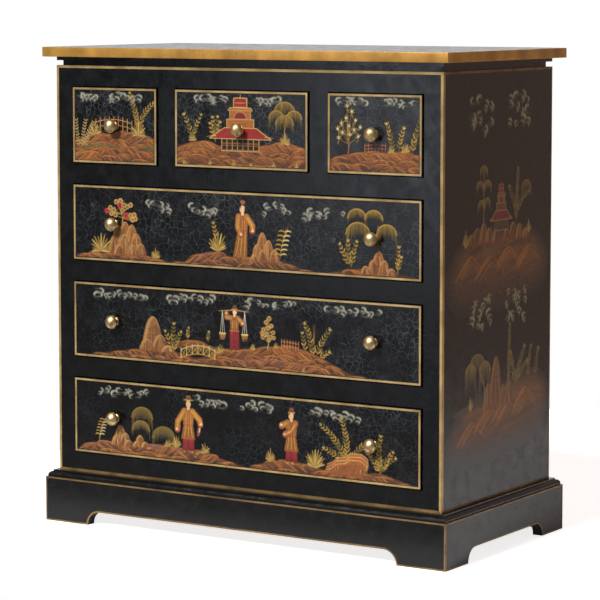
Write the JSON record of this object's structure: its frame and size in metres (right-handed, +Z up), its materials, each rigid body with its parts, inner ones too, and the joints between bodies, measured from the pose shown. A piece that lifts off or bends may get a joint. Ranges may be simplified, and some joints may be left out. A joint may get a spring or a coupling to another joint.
{
  "type": "lacquered chest of drawers",
  "caption": "Black lacquered chest of drawers with small drawers over long drawers, domed brass knobs, gilt edges and a bracket-foot plinth.",
  "frame": {"origin": "bottom centre of the bounding box, knobs included, so the feet stand on z = 0", "axes": "+Z up along the height, +X across the width to the right as seen by someone facing the drawers, +Y from front to back, so the drawers open along -Y"},
  "size_m": [0.9, 0.473, 0.93],
  "materials": {
    "black_lacquer": "black lacquer on timber with a fine crackle, satin gloss",
    "drawer_timber": "planed softwood, waxed",
    "inner_timber": "planed hardwood, unfinished",
    "thin_board": "thin plywood, unfinished",
    "knob_brass": "turned and aged",
    "screw_steel": "zinc plated",
    "gilt_paint": "gold paint, hand lined, slightly worn",
    "raised_paint": "hand-painted raised decoration in rust, ochre, crimson and gold"
  },
  "bodies": {
    "case": {"top_panel": "black_lacquer", "fascia_board": "black_lacquer", "neck_board": "black_lacquer", "side_panel_left": "black_lacquer", "side_panel_right": "black_lacquer", "back_panel": "thin_board", "bottom_board": "inner_timber", "dust_board": "thin_board", "partitions": "inner_timber", "corner_stiles": "black_lacquer", "top_rail": "black_lacquer", "rail_upper": "black_lacquer", "rail_middle": "black_lacquer", "rail_lower": "black_lacquer", "rail_bottom": "black_lacquer", "divider_stiles": "black_lacquer", "runners_and_kickers": "inner_timber", "drawer_guides": "inner_timber", "drawer_stops": "inner_timber", "base_moulding": "black_lacquer", "plinth_front": "black_lacquer", "plinth_back": "black_lacquer", "plinth_ends": "black_lacquer", "corner_blocks": "inner_timber"},
    "small_left_drawer": {"small_left_front": "black_lacquer", "small_left_sides": "drawer_timber", "small_left_back": "drawer_timber", "small_left_bottom": "thin_board", "small_left_knobs": "knob_brass", "small_left_knob_screws": "screw_steel"},
    "small_centre_drawer": {"small_centre_front": "black_lacquer", "small_centre_sides": "drawer_timber", "small_centre_back": "drawer_timber", "small_centre_bottom": "thin_board", "small_centre_knobs": "knob_brass", "small_centre_knob_screws": "screw_steel"},
    "small_right_drawer": {"small_right_front": "black_lacquer", "small_right_sides": "drawer_timber", "small_right_back": "drawer_timber", "small_right_bottom": "thin_board", "small_right_knobs": "knob_brass", "small_right_knob_screws": "screw_steel"},
    "long_upper_drawer": {"long_upper_front": "black_lacquer", "long_upper_sides": "drawer_timber", "long_upper_back": "drawer_timber", "long_upper_bottom": "thin_board", "long_upper_knobs": "knob_brass", "long_upper_knob_screws": "screw_steel"},
    "long_middle_drawer": {"long_middle_front": "black_lacquer", "long_middle_sides": "drawer_timber", "long_middle_back": "drawer_timber", "long_middle_bottom": "thin_board", "long_middle_knobs": "knob_brass", "long_middle_knob_screws": "screw_steel"},
    "long_lower_drawer": {"long_lower_front": "black_lacquer", "long_lower_sides": "drawer_timber", "long_lower_back": "drawer_timber", "long_lower_bottom": "thin_board", "long_lower_knobs": "knob_brass", "long_lower_knob_screws": "screw_steel"}
  },
  "joints": [
    {"name": "small_left_slide", "type": "slide", "parent": "case", "child": "small_left_drawer", "axis": [0, -1, 0], "range_m": [0, 0.28]},
    {"name": "small_centre_slide", "type": "slide", "parent": "case", "child": "small_centre_drawer", "axis": [0, -1, 0], "range_m": [0, 0.28]},
    {"name": "small_right_slide", "type": "slide", "parent": "case", "child": "small_right_drawer", "axis": [0, -1, 0], "range_m": [0, 0.28]},
    {"name": "long_upper_slide", "type": "slide", "parent": "case", "child": "long_upper_drawer", "axis": [0, -1, 0], "range_m": [0, 0.28]},
    {"name": "long_middle_slide", "type": "slide", "parent": "case", "child": "long_middle_drawer", "axis": [0, -1, 0], "range_m": [0, 0.28]},
    {"name": "long_lower_slide", "type": "slide", "parent": "case", "child": "long_lower_drawer", "axis": [0, -1, 0], "range_m": [0, 0.28]}
  ]
}
